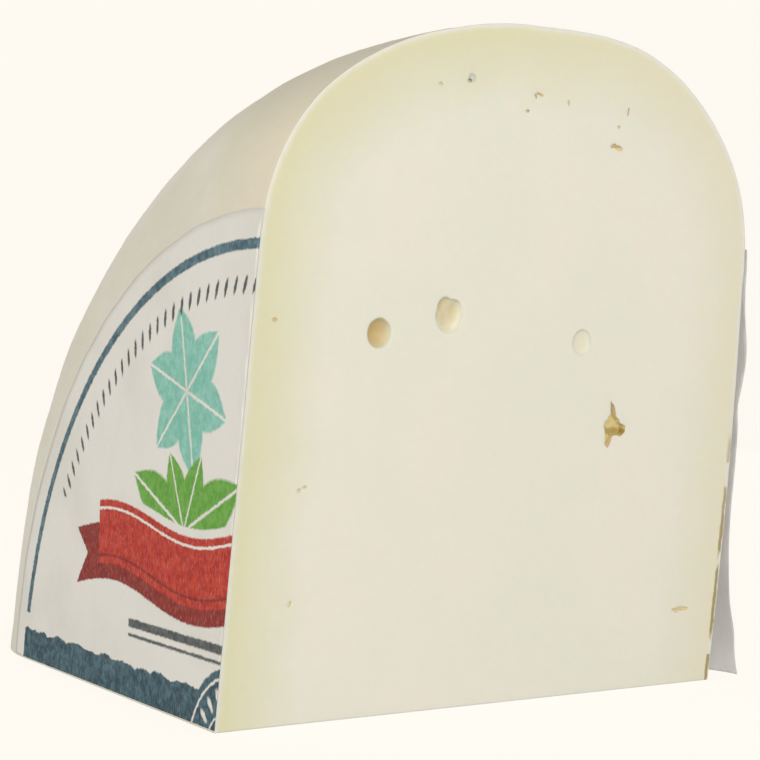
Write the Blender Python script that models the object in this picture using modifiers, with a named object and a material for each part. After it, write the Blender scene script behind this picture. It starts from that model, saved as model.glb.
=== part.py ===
# A wedge of goat cheese, a little over a quarter of a wheel, standing on one of its two cut faces.
# The wheel's axis lies along X: the face with the round paper label looks to -X, the hidden face
# to +X. The front cut looks to -Y and leans over it, because the wedge is wider than a quarter.
# The other cut rests on z = 0, and the origin is near the middle of it.

import math

import bmesh
import bpy
from mathutils import Matrix, Vector

# The wheel before it was cut.
WHEEL_RADIUS = 0.1259
WHEEL_THICKNESS = 0.104
WIDEST_X = 0.0091
LABEL_SIDE_ROUNDING = 0.0420
LABEL_SIDE_SQUARENESS = 2.56
BACK_ROUNDING = 0.0409
BACK_SQUARENESS = 2.06
BACK_BULGE = 0.0040
TURN_STEPS = 144
ROUNDING_STEPS = 18
BULGE_RINGS = 4

# Where the knife went through it. The wheel's centre is measured from the corner between the cuts.
WEDGE_ANGLE = math.radians(98.0)
WHEEL_CENTRE_BEHIND_CORNER = -0.0069
WHEEL_CENTRE_ABOVE_CORNER = -0.0091
CORNER_Y = -0.058

# The paper on each face of the wheel.
PAPER_RADIUS = 0.0918
PAPER_THICKNESS = 0.0003
PAPER_GAP = 0.0003
PAPER_RING_SPACING = 0.006
FLOOR_CLEARANCE = 0.0005

# The hidden face's paper has come loose along the front cut, most of all at its lower corner.
LOOSE_EDGE_LIFT = 0.0019
LOOSE_EDGE_HEIGHT = 0.086
LOOSE_CORNER_LIFT = 0.0066
LOOSE_CORNER_HEIGHT = 0.012
LOOSE_REACH = 0.018

# Eyes and pits in the front cut, in metres on that face: x across, height up the face from the
# corner, then the opening's width and height, how deep it goes, and how far it is turned.
HOLES = {
    "deep_eye": {"x": -0.0284, "height": 0.0648, "width": 0.0046, "tall": 0.0050, "deep": 0.0036, "turn": 0},
    "wide_eye": {"x": -0.0149, "height": 0.0682, "width": 0.0052, "tall": 0.0058, "deep": 0.0022, "turn": 12},
    "side_lobe": {"x": -0.0157, "height": 0.0696, "width": 0.0030, "tall": 0.0032, "deep": 0.0030, "turn": 0},
    "shallow_eye": {"x": 0.0144, "height": 0.0647, "width": 0.0041, "tall": 0.0044, "deep": 0.0009, "turn": 0},
    "upper_pit": {"x": -0.0152, "height": 0.1073, "width": 0.0015, "tall": 0.0012, "deep": 0.0010, "turn": 20},
    "dark_pit": {"x": 0.0173, "height": 0.0990, "width": 0.0028, "tall": 0.0010, "deep": 0.0012, "turn": 8},
    "low_crack": {"x": 0.0462, "height": 0.0146, "width": 0.0042, "tall": 0.0008, "deep": 0.0010, "turn": 12},
}
HOLE_SEGMENTS = 16
HOLE_RINGS = 10
HOLE_SINK = 0.0001

# The torn hole: its outline about its own centre, across and up the face.
TEAR_X = 0.0237
TEAR_HEIGHT = 0.0500
TEAR_OUTLINE = [
    (-0.0007, 0.0045),
    (0.0004, 0.0033),
    (0.0014, 0.0013),
    (0.0031, -0.0004),
    (0.0022, -0.0022),
    (0.0006, -0.0017),
    (-0.0003, -0.0044),
    (-0.0011, -0.0034),
    (-0.0017, 0.0002),
]
TEAR_DEPTH = 0.0026
TEAR_TAPER = 0.55

KNIFE_SIZE = 0.4

LEAN = WEDGE_ANGLE - math.pi / 2
FACE_UP = Vector((0.0, -math.sin(LEAN), math.cos(LEAN)))
FACE_INWARD = Vector((0.0, math.cos(LEAN), math.sin(LEAN)))
CORNER = Vector((0.0, CORNER_Y, 0.0))
WHEEL_CENTRE = CORNER + Vector((0.0, WHEEL_CENTRE_BEHIND_CORNER, WHEEL_CENTRE_ABOVE_CORNER))


def clear_scene():
    for obj in list(bpy.data.objects):
        bpy.data.objects.remove(obj, do_unlink=True)


def new_collection(name):
    collection = bpy.data.collections.new(name)
    bpy.context.scene.collection.children.link(collection)
    return collection


def new_material(name, colour, roughness):
    material = bpy.data.materials.new(name)
    material.use_nodes = True
    shader = material.node_tree.nodes["Principled BSDF"]
    shader.inputs["Base Color"].default_value = (*colour, 1.0)
    shader.inputs["Roughness"].default_value = roughness
    shader.inputs["Metallic"].default_value = 0.0
    return material


def label_face_along(radius):
    """Where the labelled face is along the wheel's axis, at a distance from that axis."""
    flat = WHEEL_RADIUS - LABEL_SIDE_ROUNDING
    if radius <= flat:
        return -WHEEL_THICKNESS / 2
    out = min((radius - flat) / LABEL_SIDE_ROUNDING, 1.0)
    reach = WHEEL_THICKNESS / 2 + WIDEST_X
    return WIDEST_X - reach * (1 - out ** LABEL_SIDE_SQUARENESS) ** (1 / LABEL_SIDE_SQUARENESS)


def back_face_along(radius):
    """The same for the hidden face, which swells a little in its middle."""
    flat = WHEEL_RADIUS - BACK_ROUNDING
    if radius <= flat:
        return WHEEL_THICKNESS / 2 + BACK_BULGE * (1 - (radius / flat) ** 2)
    out = min((radius - flat) / BACK_ROUNDING, 1.0)
    reach = WHEEL_THICKNESS / 2 - WIDEST_X
    return WIDEST_X + reach * (1 - out ** BACK_SQUARENESS) ** (1 / BACK_SQUARENESS)


def rounding_radii(rounding, squareness):
    """Radii from the flat's edge out to the rim, closer together where the curve is tighter."""
    radii = []
    for step in range(ROUNDING_STEPS + 1):
        turn = math.pi / 2 * step / ROUNDING_STEPS
        radii.append(WHEEL_RADIUS - rounding + rounding * math.sin(turn) ** (2 / squareness))
    return radii


def wheel_profile():
    """The half section, from the labelled face's middle over the rim to the hidden face's middle."""
    label_side = [0.0] + rounding_radii(LABEL_SIDE_ROUNDING, LABEL_SIDE_SQUARENESS)
    profile = [(radius, label_face_along(radius)) for radius in label_side]
    back_flat = WHEEL_RADIUS - BACK_ROUNDING
    back_side = [back_flat * ring / BULGE_RINGS for ring in range(BULGE_RINGS)]
    back_side += rounding_radii(BACK_ROUNDING, BACK_SQUARENESS)[:-1]
    profile += [(radius, back_face_along(radius)) for radius in reversed(back_side)]
    return profile


def paper_radii():
    rings = round(PAPER_RADIUS / PAPER_RING_SPACING)
    return [PAPER_RADIUS * ring / rings for ring in range(rings + 1)]


def turn_profile(name, profile, collection):
    """Turn a profile of (radius, along the axis) points round the wheel's axis, laid along X."""
    points = [(radius, 0.0, -along) for radius, along in profile]
    edges = [(index, index + 1) for index in range(len(points) - 1)]
    mesh = bpy.data.meshes.new(name)
    mesh.from_pydata(points, edges, [])
    obj = bpy.data.objects.new(name, mesh)
    collection.objects.link(obj)
    obj.location = WHEEL_CENTRE
    obj.rotation_euler = (0.0, -math.pi / 2, 0.0)
    screw = obj.modifiers.new("Turn the profile", "SCREW")
    screw.angle = 2 * math.pi
    screw.steps = TURN_STEPS
    screw.render_steps = TURN_STEPS
    screw.use_merge_vertices = True
    screw.merge_threshold = 0.00001
    return obj


def face_point(x, height, depth):
    """A point of the front cut, or one that is some depth behind it."""
    return CORNER + Vector((x, 0.0, 0.0)) + FACE_UP * height + FACE_INWARD * depth


def add_cutter(name, mesh_builder, location, rotation, collection):
    mesh = bpy.data.meshes.new(name)
    builder = bmesh.new()
    mesh_builder(builder)
    bmesh.ops.recalc_face_normals(builder, faces=builder.faces)
    builder.to_mesh(mesh)
    builder.free()
    obj = bpy.data.objects.new(name, mesh)
    obj.location = location
    obj.rotation_euler = rotation
    obj.hide_render = True
    obj.display_type = "WIRE"
    collection.objects.link(obj)
    return obj


def add_knife(name, location, rotation, towards, collection):
    """A block whose one face is the cut, and which lies on the side that was taken away."""
    def build(builder):
        bmesh.ops.create_cube(builder, size=KNIFE_SIZE)
        bmesh.ops.translate(builder, verts=builder.verts, vec=Vector(towards) * KNIFE_SIZE / 2)
    return add_cutter(name, build, location, rotation, collection)


def add_hole_cutter(name, hole, collection):
    def build(builder):
        bmesh.ops.create_uvsphere(builder, u_segments=HOLE_SEGMENTS, v_segments=HOLE_RINGS, radius=1.0)
        size = Vector((hole["width"] / 2, hole["deep"], hole["tall"] / 2))
        bmesh.ops.scale(builder, verts=builder.verts, vec=size)
        turn = Matrix.Rotation(math.radians(hole["turn"]), 3, "Y")
        bmesh.ops.rotate(builder, verts=builder.verts, matrix=turn)
    place = face_point(hole["x"], hole["height"], HOLE_SINK)
    return add_cutter(name, build, place, (LEAN, 0.0, 0.0), collection)


def add_tear_cutter(collection):
    """A jagged pocket that starts in front of the face and narrows inward."""
    def build(builder):
        outline = [builder.verts.new((x, -TEAR_DEPTH, up)) for x, up in TEAR_OUTLINE]
        mouth = builder.faces.new(outline)
        grown = bmesh.ops.extrude_face_region(builder, geom=[mouth])
        inner = [item for item in grown["geom"] if isinstance(item, bmesh.types.BMVert)]
        bmesh.ops.translate(builder, verts=inner, vec=(0.0, 2 * TEAR_DEPTH, 0.0))
        bmesh.ops.scale(builder, verts=inner, vec=(TEAR_TAPER, 1.0, TEAR_TAPER))
    place = face_point(TEAR_X, TEAR_HEIGHT, 0.0)
    return add_cutter("tear_cutter", build, place, (LEAN, 0.0, 0.0), collection)


def cut(obj, cutter):
    boolean = obj.modifiers.new("Cut by " + cutter.name, "BOOLEAN")
    boolean.operation = "DIFFERENCE"
    boolean.object = cutter


def build_cheese(parts, cutters):
    cheese = turn_profile("cheese", wheel_profile(), parts)
    cut(cheese, add_knife("resting_cut", CORNER, (0.0, 0.0, 0.0), (0, 0, -1), cutters))
    cut(cheese, add_knife("front_cut", CORNER, (LEAN, 0.0, 0.0), (0, -1, 0), cutters))
    for name, hole in HOLES.items():
        cut(cheese, add_hole_cutter(name + "_cutter", hole, cutters))
    cut(cheese, add_tear_cutter(cutters))
    cheese.data.materials.append(new_material("goat cheese", (0.80, 0.77, 0.66), 0.45))


def loose_lift(point):
    """How far the hidden face's paper stands off the cheese at a point."""
    behind = (point - CORNER).dot(FACE_INWARD)
    near_edge = math.exp(-((behind / LOOSE_REACH) ** 2))
    up_the_edge = max(0.0, 1.0 - point.z / LOOSE_EDGE_HEIGHT)
    edge = LOOSE_EDGE_LIFT * up_the_edge ** 0.5
    corner = LOOSE_CORNER_LIFT * math.exp(-point.z / LOOSE_CORNER_HEIGHT)
    return (edge + corner) * near_edge


def build_paper(name, profile, parts, colour, lift):
    """A thin round paper on one face of the wheel, cut through with it."""
    turned = turn_profile(name + "_turned", profile, parts)
    evaluated = turned.evaluated_get(bpy.context.evaluated_depsgraph_get())
    mesh = bpy.data.meshes.new_from_object(evaluated)
    mesh.name = name
    sheet = bmesh.new()
    sheet.from_mesh(mesh)
    bmesh.ops.transform(sheet, matrix=evaluated.matrix_world, verts=sheet.verts)
    floor = CORNER + Vector((0.0, 0.0, FLOOR_CLEARANCE))
    for place, outward in ((floor, Vector((0, 0, -1))), (CORNER, -FACE_INWARD)):
        geometry = sheet.verts[:] + sheet.edges[:] + sheet.faces[:]
        bmesh.ops.bisect_plane(sheet, geom=geometry, plane_co=place, plane_no=outward, clear_outer=True)
    for vert in sheet.verts:
        vert.co.x += lift(vert.co)
    sheet.to_mesh(mesh)
    sheet.free()
    bpy.data.objects.remove(turned, do_unlink=True)
    paper = bpy.data.objects.new(name, mesh)
    parts.objects.link(paper)
    wall = paper.modifiers.new("Paper thickness", "SOLIDIFY")
    wall.thickness = PAPER_THICKNESS
    wall.offset = 1.0
    paper.data.materials.append(new_material(name + " paper", colour, 0.7))


def build_front_label(parts):
    profile = [(radius, label_face_along(radius) - PAPER_GAP) for radius in paper_radii()]
    build_paper("front_label", profile, parts, (0.74, 0.72, 0.67), lambda point: 0.0)


def build_back_label(parts):
    profile = [(radius, back_face_along(radius) + PAPER_GAP) for radius in reversed(paper_radii())]
    build_paper("back_label", profile, parts, (0.70, 0.69, 0.70), loose_lift)


def main():
    clear_scene()
    parts = new_collection("goat_cheese_wedge")
    cutters = new_collection("cutters")
    build_cheese(parts, cutters)
    build_front_label(parts)
    build_back_label(parts)


main()
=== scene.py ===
from math import ceil, cos, exp, pi, radians, sin

import bmesh
import bpy
from mathutils import Matrix, Vector, noise
from mathutils.bvhtree import BVHTree


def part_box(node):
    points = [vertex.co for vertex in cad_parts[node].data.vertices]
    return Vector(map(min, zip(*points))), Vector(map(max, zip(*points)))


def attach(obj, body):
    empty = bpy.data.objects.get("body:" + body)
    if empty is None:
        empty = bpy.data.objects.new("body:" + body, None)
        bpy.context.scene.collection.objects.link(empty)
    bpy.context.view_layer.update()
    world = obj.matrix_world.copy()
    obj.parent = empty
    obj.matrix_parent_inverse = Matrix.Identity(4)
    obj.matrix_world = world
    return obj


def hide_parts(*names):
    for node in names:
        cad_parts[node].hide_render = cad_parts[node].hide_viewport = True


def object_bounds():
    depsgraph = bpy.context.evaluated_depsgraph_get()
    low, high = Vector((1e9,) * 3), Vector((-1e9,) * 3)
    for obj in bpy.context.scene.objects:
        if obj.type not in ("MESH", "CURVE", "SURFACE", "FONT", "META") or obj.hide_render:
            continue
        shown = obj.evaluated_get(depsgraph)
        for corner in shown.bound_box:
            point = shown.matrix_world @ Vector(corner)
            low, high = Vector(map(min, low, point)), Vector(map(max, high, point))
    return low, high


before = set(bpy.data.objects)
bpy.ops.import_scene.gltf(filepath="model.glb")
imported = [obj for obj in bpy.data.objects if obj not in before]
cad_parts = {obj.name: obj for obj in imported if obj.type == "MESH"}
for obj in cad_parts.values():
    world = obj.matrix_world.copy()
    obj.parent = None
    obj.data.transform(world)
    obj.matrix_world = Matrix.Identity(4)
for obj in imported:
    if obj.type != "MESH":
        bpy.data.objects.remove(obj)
cadLow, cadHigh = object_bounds()
cheeseLow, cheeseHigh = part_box("cheese")
print("frame loaded, cheese", [round(v * 1000, 1) for v in cheeseHigh - cheeseLow], "mm")

# The two knife cuts, and the wheel's middle measured from the corner where they meet
cuts = {
    "wedgeAngle": radians(98.0),   # a little over a quarter, so the front face leans over
    "cornerY": -0.058,
    "centreBehind": -0.0069,       # the knife missed the wheel's middle
    "centreAbove": -0.0091,
    "onPlane": 2e-6,               # a point this near a cut's plane lies on it
}
wheel = {
    "radius": cheeseHigh.z - cuts["centreAbove"],
    "halfThickness": -cheeseLow.x,
    "widestX": 0.0091,
    "labelRounding": 0.0420,
    "labelSquareness": 2.56,
    "backRounding": 0.0409,
    "backSquareness": 2.06,
    "backBulge": 0.0040,
    "turnBefore": radians(6.0),    # the turn runs past both cuts
    "turnExtra": radians(14.0),
}
mergeDistance = 1e-6

lean = cuts["wedgeAngle"] - pi / 2
faceUp = Vector((0, -sin(lean), cos(lean)))
faceInward = Vector((0, cos(lean), sin(lean)))
corner = Vector((0, cuts["cornerY"], 0))
wheelCentre = corner + Vector((0, cuts["centreBehind"], cuts["centreAbove"]))


def hexToLinear(code):
    # "#e9e3d3" to the linear colour that the shader wants
    parts = [int(code[i:i + 2], 16) / 255 for i in (1, 3, 5)]
    return [c / 12.92 if c <= 0.04045 else ((c + 0.055) / 1.055) ** 2.4 for c in parts] + [1.0]


def addNode(tree, kind, inputs=None, **settings):
    # a node with its settings; an input is a value, or another node or socket to link from
    node = tree.nodes.new("ShaderNode" + kind)
    for name, value in settings.items():
        setattr(node, name, value)
    for socket, value in (inputs or {}).items():
        if isinstance(value, bpy.types.Node):
            tree.links.new(value.outputs[0], node.inputs[socket])
        elif isinstance(value, bpy.types.NodeSocket):
            tree.links.new(value, node.inputs[socket])
        elif isinstance(socket, tuple):
            for end, number in zip(socket, value):     # both ends of a range at once
                node.inputs[end].default_value = number
        else:
            node.inputs[socket].default_value = value
    return node


def startMaterial(name, surface):
    # surface holds what is the same all over the material
    material = bpy.data.materials.new(name)
    material.use_nodes = True
    shader = material.node_tree.nodes["Principled BSDF"]
    for socket, value in surface.items():
        shader.inputs[socket].default_value = value
    return material, material.node_tree, shader


def fromCornerAlong(tree, place, direction):
    # how far a point is from the corner where the cuts meet, along a direction
    offset = addNode(tree, "VectorMath", {0: place, 1: corner}, operation="SUBTRACT")
    dot = addNode(tree, "VectorMath", {0: offset, 1: direction}, operation="DOT_PRODUCT")
    return dot.outputs["Value"]


def awayFrom(tree, value, middle):
    # how far a value is from middle, to either side
    offset = addNode(tree, "Math", {0: value, 1: middle}, operation="SUBTRACT")
    return addNode(tree, "Math", {0: offset}, operation="ABSOLUTE")


def smoothStep(low, high, value):
    t = min(max((value - low) / (high - low), 0), 1)
    return t * t * (3 - 2 * t)


def behindFace(point):
    return (point - corner).dot(faceInward)


def onFrontCut(point):
    return abs(behindFace(point)) < cuts["onPlane"]


def onBaseCut(point):
    return abs(point.z) < cuts["onPlane"]


def facePoint(x, height, depth=0):
    return corner + Vector((x, 0, 0)) + faceUp * height + faceInward * depth


def labelFaceAlong(radius):
    # where the labelled face is along the axis, at a distance from it
    flat = wheel["radius"] - wheel["labelRounding"]
    if radius <= flat:
        return -wheel["halfThickness"]
    out = min((radius - flat) / wheel["labelRounding"], 1)
    n = wheel["labelSquareness"]
    return wheel["widestX"] - (wheel["halfThickness"] + wheel["widestX"]) * (1 - out ** n) ** (1 / n)


def backFaceAlong(radius):
    # the hidden face swells a little in its middle
    flat = wheel["radius"] - wheel["backRounding"]
    if radius <= flat:
        return wheel["halfThickness"] + wheel["backBulge"] * (1 - (radius / flat) ** 2)
    out = min((radius - flat) / wheel["backRounding"], 1)
    n = wheel["backSquareness"]
    return wheel["widestX"] + (wheel["halfThickness"] - wheel["widestX"]) * (1 - out ** n) ** (1 / n)


def spinAboutAxis(bm, points, turnStep):
    # points are (radius, along the axis); the turn goes from the front cut back to the base
    start = -lean - wheel["turnBefore"]
    steps = ceil((cuts["wedgeAngle"] + wheel["turnExtra"]) / turnStep)
    ring = []
    for radius, along in points:
        offset = Vector((along, radius * sin(start), radius * cos(start)))
        ring.append(bm.verts.new(wheelCentre + offset))
    for a, b in zip(ring, ring[1:]):
        bm.edges.new((a, b))
    bmesh.ops.spin(bm, geom=bm.verts[:] + bm.edges[:], cent=wheelCentre, axis=(-1, 0, 0),
                   dvec=(0, 0, 0), angle=steps * turnStep, steps=steps, use_merge=False,
                   use_duplicate=False)
    bmesh.ops.remove_doubles(bm, verts=bm.verts, dist=mergeDistance)


def cutAway(bm, place, outward):
    bmesh.ops.bisect_plane(bm, geom=bm.verts[:] + bm.edges[:] + bm.faces[:], dist=mergeDistance,
                           plane_co=place, plane_no=outward, clear_outer=True)


def sortParts(bm):
    # operators leave the parts in another order each run, and the holes' Boolean follows it
    def byVerts(part):
        return sorted(vert.index for vert in part.verts)

    for parts, key in ((bm.verts, lambda vert: tuple(vert.co)), (bm.edges, byVerts), (bm.faces, byVerts)):
        for index, part in enumerate(sorted(parts, key=key)):
            part.index = index
        parts.sort()


def finishPiece(name, bm, materials):
    sortParts(bm)
    mesh = bpy.data.meshes.new(name)
    bm.to_mesh(mesh)
    bm.free()
    for material in materials:
        mesh.materials.append(material)
    piece = bpy.data.objects.new(name, mesh)
    bpy.context.scene.collection.objects.link(piece)
    return piece


# Cheese paste: pressed goat curd cut by a wire, nearly white, smooth and faintly see-through.
# It is yellower near the rind, and the cut coating shows as a thin whitish line at the border.
pasteLook = {
    "middle": "#eae3d2",
    "middleGreen": "#e6e3d0",
    "band": "#dfd9b4",
    "bandRight": "#e4ddc2",
    "coating": "#e9e5da",
    # painted shade of the gap by the loose paper, low on the right border
    "gapShade": "#a2915a",
    # millimetres from the rind
    "bandStart": 2.0,
    "bandEnd": 14.5,
    "bandWander": 3.0,
    "wanderDepth": (1.0, 5.0),
    "coatingDepth": (0.15, 0.95),
    "raggedBy": 0.35,
    "gapShadeInner": (0.85, 1.1),
    "gapShadeOuter": (0.15, 0.35),
    # metres in the shared frame
    "bandRightX": (-0.01, 0.045),
    "gapShadeX": (0.0530, 0.0545),
    "gapShadeZ": (0.049, 0.046),
    # noise scales: 80 per metre is clouds 12 mm across
    "clouds": 80.0,
    "drifts": 48.0,
    "grain": 700.0,
    "ragged": 450.0,
    "patches": 150.0,
    "relief": 260.0,
    "surface": {"Roughness": 0.46, "IOR": 1.44, "Subsurface Weight": 0.35,
                "Subsurface Radius": (1.0, 0.72, 0.42), "Subsurface Scale": 0.003},
}


def makePasteMaterial():
    look = pasteLook
    material, tree, shader = startMaterial("goat cheese paste, wire cut", look["surface"])
    place = addNode(tree, "TexCoord").outputs["Object"]
    split = addNode(tree, "SeparateXYZ", {0: place})
    depth = addNode(tree, "Attribute", attribute_name="rindDepth")
    depthMm = addNode(tree, "Math", {0: depth.outputs["Fac"], 1: 1000.0}, operation="MULTIPLY")
    # clouds 12 mm across make the yellow band's edge wander
    clouds = addNode(tree, "TexNoise", {"Vector": place, "Scale": look["clouds"], "Detail": 3.0})
    wander = addNode(tree, "MapRange", {0: clouds, 3: -look["bandWander"], 4: look["bandWander"]})
    wanderIn = addNode(tree, "MapRange", {0: depthMm, (1, 2): look["wanderDepth"]})
    push = addNode(tree, "Math", {0: wander, 1: wanderIn}, operation="MULTIPLY")
    bandDepth = addNode(tree, "Math", {0: depthMm, 1: push}, operation="ADD")
    toMiddle = addNode(tree, "MapRange", {0: bandDepth, 1: look["bandStart"], 2: look["bandEnd"]})
    toRight = addNode(tree, "MapRange", {0: split.outputs["X"], (1, 2): look["bandRightX"]})
    band = addNode(tree, "Mix", {0: toRight, 6: hexToLinear(look["band"]),
                                 7: hexToLinear(look["bandRight"])}, data_type="RGBA")
    # faint warmer and greener drifts, 20 mm across
    drifts = addNode(tree, "TexNoise", {"Vector": place, "Scale": look["drifts"], "Detail": 2.0})
    drifted = addNode(tree, "MapRange", {0: drifts, 1: 0.42, 2: 0.58})
    middle = addNode(tree, "Mix", {0: drifted, 6: hexToLinear(look["middle"]),
                                   7: hexToLinear(look["middleGreen"])}, data_type="RGBA")
    paste = addNode(tree, "Mix", {0: toMiddle, 6: band.outputs[2], 7: middle.outputs[2]},
                    data_type="RGBA")
    # fine curd grain, 1.4 mm, a percent or two lighter and darker
    grain = addNode(tree, "TexNoise", {"Vector": place, "Scale": look["grain"], "Detail": 2.0})
    grainValue = addNode(tree, "MapRange", {0: grain, 3: 0.985, 4: 1.012})
    grained = addNode(tree, "HueSaturation", {"Color": paste.outputs[2], "Value": grainValue})
    # the cut coating at the border
    ragged = addNode(tree, "TexNoise", {"Vector": place, "Scale": look["ragged"], "Detail": 2.0})
    raggedMm = addNode(tree, "MapRange", {0: ragged, 3: -look["raggedBy"], 4: look["raggedBy"]})
    coatDepth = addNode(tree, "Math", {0: depthMm, 1: raggedMm}, operation="ADD")
    coat = addNode(tree, "MapRange", {0: coatDepth, (1, 2): look["coatingDepth"], 3: 0.85, 4: 0.0})
    coated = addNode(tree, "Mix", {0: coat, 6: grained.outputs[0], 7: hexToLinear(look["coating"])},
                     data_type="RGBA")
    # painted shade: an olive-brown line low on the right border, in the gap where the loose paper stands
    # off
    onRight = addNode(tree, "MapRange", {0: split.outputs["X"], (1, 2): look["gapShadeX"]})
    gapShadeInner = addNode(tree, "MapRange", {0: coatDepth, (1, 2): look["gapShadeInner"], 3: 1.0, 4: 0.0})
    gapShadeOuter = addNode(tree, "MapRange", {0: coatDepth, (1, 2): look["gapShadeOuter"]})
    nearRind = addNode(tree, "Math", {0: gapShadeInner, 1: gapShadeOuter}, operation="MULTIPLY")
    low = addNode(tree, "MapRange", {0: split.outputs["Z"], (1, 2): look["gapShadeZ"]})
    patches = addNode(tree, "TexNoise", {"Vector": place, "Scale": look["patches"], "Detail": 1.0})
    patchy = addNode(tree, "MapRange", {0: patches, 1: 0.43, 2: 0.47})
    gapShadeSide = addNode(tree, "Math", {0: onRight, 1: nearRind}, operation="MULTIPLY")
    gapShadeLow = addNode(tree, "Math", {0: gapShadeSide, 1: low}, operation="MULTIPLY")
    gapShade = addNode(tree, "Math", {0: gapShadeLow, 1: patchy}, operation="MULTIPLY")
    gapShaded = addNode(tree, "Mix", {0: gapShade, 6: coated.outputs[2], 7: hexToLinear(look["gapShade"])},
                      data_type="RGBA")
    tree.links.new(gapShaded.outputs[2], shader.inputs["Base Color"])
    relief = addNode(tree, "TexNoise", {"Vector": place, "Scale": look["relief"], "Detail": 4.0})
    softEdge = addNode(tree, "Bevel", {"Radius": cheeseShape["edgeSoftness"]})
    bump = addNode(tree, "Bump", {"Height": relief, "Strength": 0.12, "Distance": 0.0004,
                                  "Normal": softEdge})
    tree.links.new(bump.outputs[0], shader.inputs["Normal"])
    return material


# Eye wall: the same paste where gas held it open, with painted shade: darker and tanner the deeper it
# lies.
eyeLook = {
    "rim": "#e9e5d0",
    # painted shade: the wall and deep colours darken the hole the further it lies behind the cut
    "wall": "#dfd5b0",
    "deep": "#c8b079",
    "wallShadeDepth": (0.0, 1.3),       # mm behind the cut
    "deepShadeDepth": (0.6, 1.8),
    "jitter": 0.35,
    "rimSoftness": 0.0008,
    "cloud": 600.0,                # noise scale, 1.7 mm
    "surface": {"Roughness": 0.42, "IOR": 1.44, "Subsurface Weight": 0.3,
                "Subsurface Radius": (1.0, 0.7, 0.35), "Subsurface Scale": 0.0015},
}


def makeEyeMaterial():
    look = eyeLook
    material, tree, shader = startMaterial("goat cheese eye wall", look["surface"])
    place = addNode(tree, "TexCoord").outputs["Object"]
    behind = fromCornerAlong(tree, place, faceInward)
    depthMm = addNode(tree, "Math", {0: behind, 1: 1000.0}, operation="MULTIPLY")
    cloud = addNode(tree, "TexNoise", {"Vector": place, "Scale": look["cloud"], "Detail": 2.0})
    jitter = addNode(tree, "MapRange", {0: cloud, 3: -look["jitter"], 4: look["jitter"]})
    jittered = addNode(tree, "Math", {0: depthMm, 1: jitter}, operation="ADD")
    # painted shade, by depth behind the cut
    toWallShade = addNode(tree, "MapRange", {0: jittered, (1, 2): look["wallShadeDepth"]})
    toDeepShade = addNode(tree, "MapRange", {0: jittered, (1, 2): look["deepShadeDepth"]})
    wall = addNode(tree, "Mix", {0: toWallShade, 6: hexToLinear(look["rim"]), 7: hexToLinear(look["wall"])},
                   data_type="RGBA")
    deep = addNode(tree, "Mix", {0: toDeepShade, 6: wall.outputs[2], 7: hexToLinear(look["deep"])},
                   data_type="RGBA")
    tree.links.new(deep.outputs[2], shader.inputs["Base Color"])
    softRim = addNode(tree, "Bevel", {"Radius": look["rimSoftness"]})
    bump = addNode(tree, "Bump", {"Height": cloud, "Strength": 0.15, "Distance": 0.0003,
                                  "Normal": softRim})
    tree.links.new(bump.outputs[0], shader.inputs["Normal"])
    return material


# Torn paste: where the curd pulled apart, amber further in and olive along its ledge.
tornLook = {
    "rim": "#e4d6a8",
    "amber": "#d8bf7a",
    "olive": "#a9924c",
    "amberDepth": (0.1, 0.7),
    "ledgeHeight": 0.0487,         # metres up the cut
    "ledgeHalf": (0.0003, 0.0009),
    "cloud": 900.0,                # noise scale, 1.1 mm
    "surface": {"Roughness": 0.5, "IOR": 1.44},
}


def makeTornMaterial():
    look = tornLook
    material, tree, shader = startMaterial("goat cheese paste, torn", look["surface"])
    place = addNode(tree, "TexCoord").outputs["Object"]
    behind = fromCornerAlong(tree, place, faceInward)
    height = fromCornerAlong(tree, place, faceUp)
    cloud = addNode(tree, "TexNoise", {"Vector": place, "Scale": look["cloud"], "Detail": 3.0})
    depthMm = addNode(tree, "Math", {0: behind, 1: 1000.0}, operation="MULTIPLY")
    ragged = addNode(tree, "Math", {0: cloud, 1: depthMm}, operation="MULTIPLY")
    inward = addNode(tree, "MapRange", {0: ragged, (1, 2): look["amberDepth"]})
    amber = addNode(tree, "Mix", {0: inward, 6: hexToLinear(look["rim"]),
                                  7: hexToLinear(look["amber"])}, data_type="RGBA")
    # the ledge across the middle
    away = awayFrom(tree, height, look["ledgeHeight"])
    ledge = addNode(tree, "MapRange", {0: away, (1, 2): look["ledgeHalf"], 3: 0.9, 4: 0.0})
    both = addNode(tree, "Mix", {0: ledge, 6: amber.outputs[2], 7: hexToLinear(look["olive"])},
                   data_type="RGBA")
    tree.links.new(both.outputs[2], shader.inputs["Base Color"])
    bump = addNode(tree, "Bump", {"Height": cloud, "Strength": 0.5, "Distance": 0.0004})
    tree.links.new(bump.outputs[0], shader.inputs["Normal"])
    return material


# Rind: brushed-on breathable cheese coating, cream beige, satin, cloudy where it is thicker.
rindLook = {
    "base": "#dad3ba",
    "shade": "#c3bb9e",
    # the top colour is painted shade over the top of the rind
    "topShade": "#b1ab93",
    # milky is the coating's milky clouds, and also painted light low down the side
    "milky": "#dddacb",
    "peach": "#e4d7bc",
    # metres up, or behind the front cut, and how much there at most
    "lowLightHeights": (0.098, 0.070),
    "lowLightMost": 0.45,
    "topShadeHeights": (0.094, 0.112),
    "topShadeMost": 0.8,
    "peachBehind": (0.002, 0.024),
    "peachMost": 0.7,
    # noise scales: clouds 30 mm, brush marks 3 mm and pores 0.8 mm across
    "clouds": 34.0,
    "marks": 330.0,
    "pores": 1250.0,
    "gloss": (0.42, 0.60),
    "surface": {"IOR": 1.46, "Subsurface Weight": 0.18, "Subsurface Radius": (1.0, 0.7, 0.45),
                "Subsurface Scale": 0.002},
}


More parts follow.
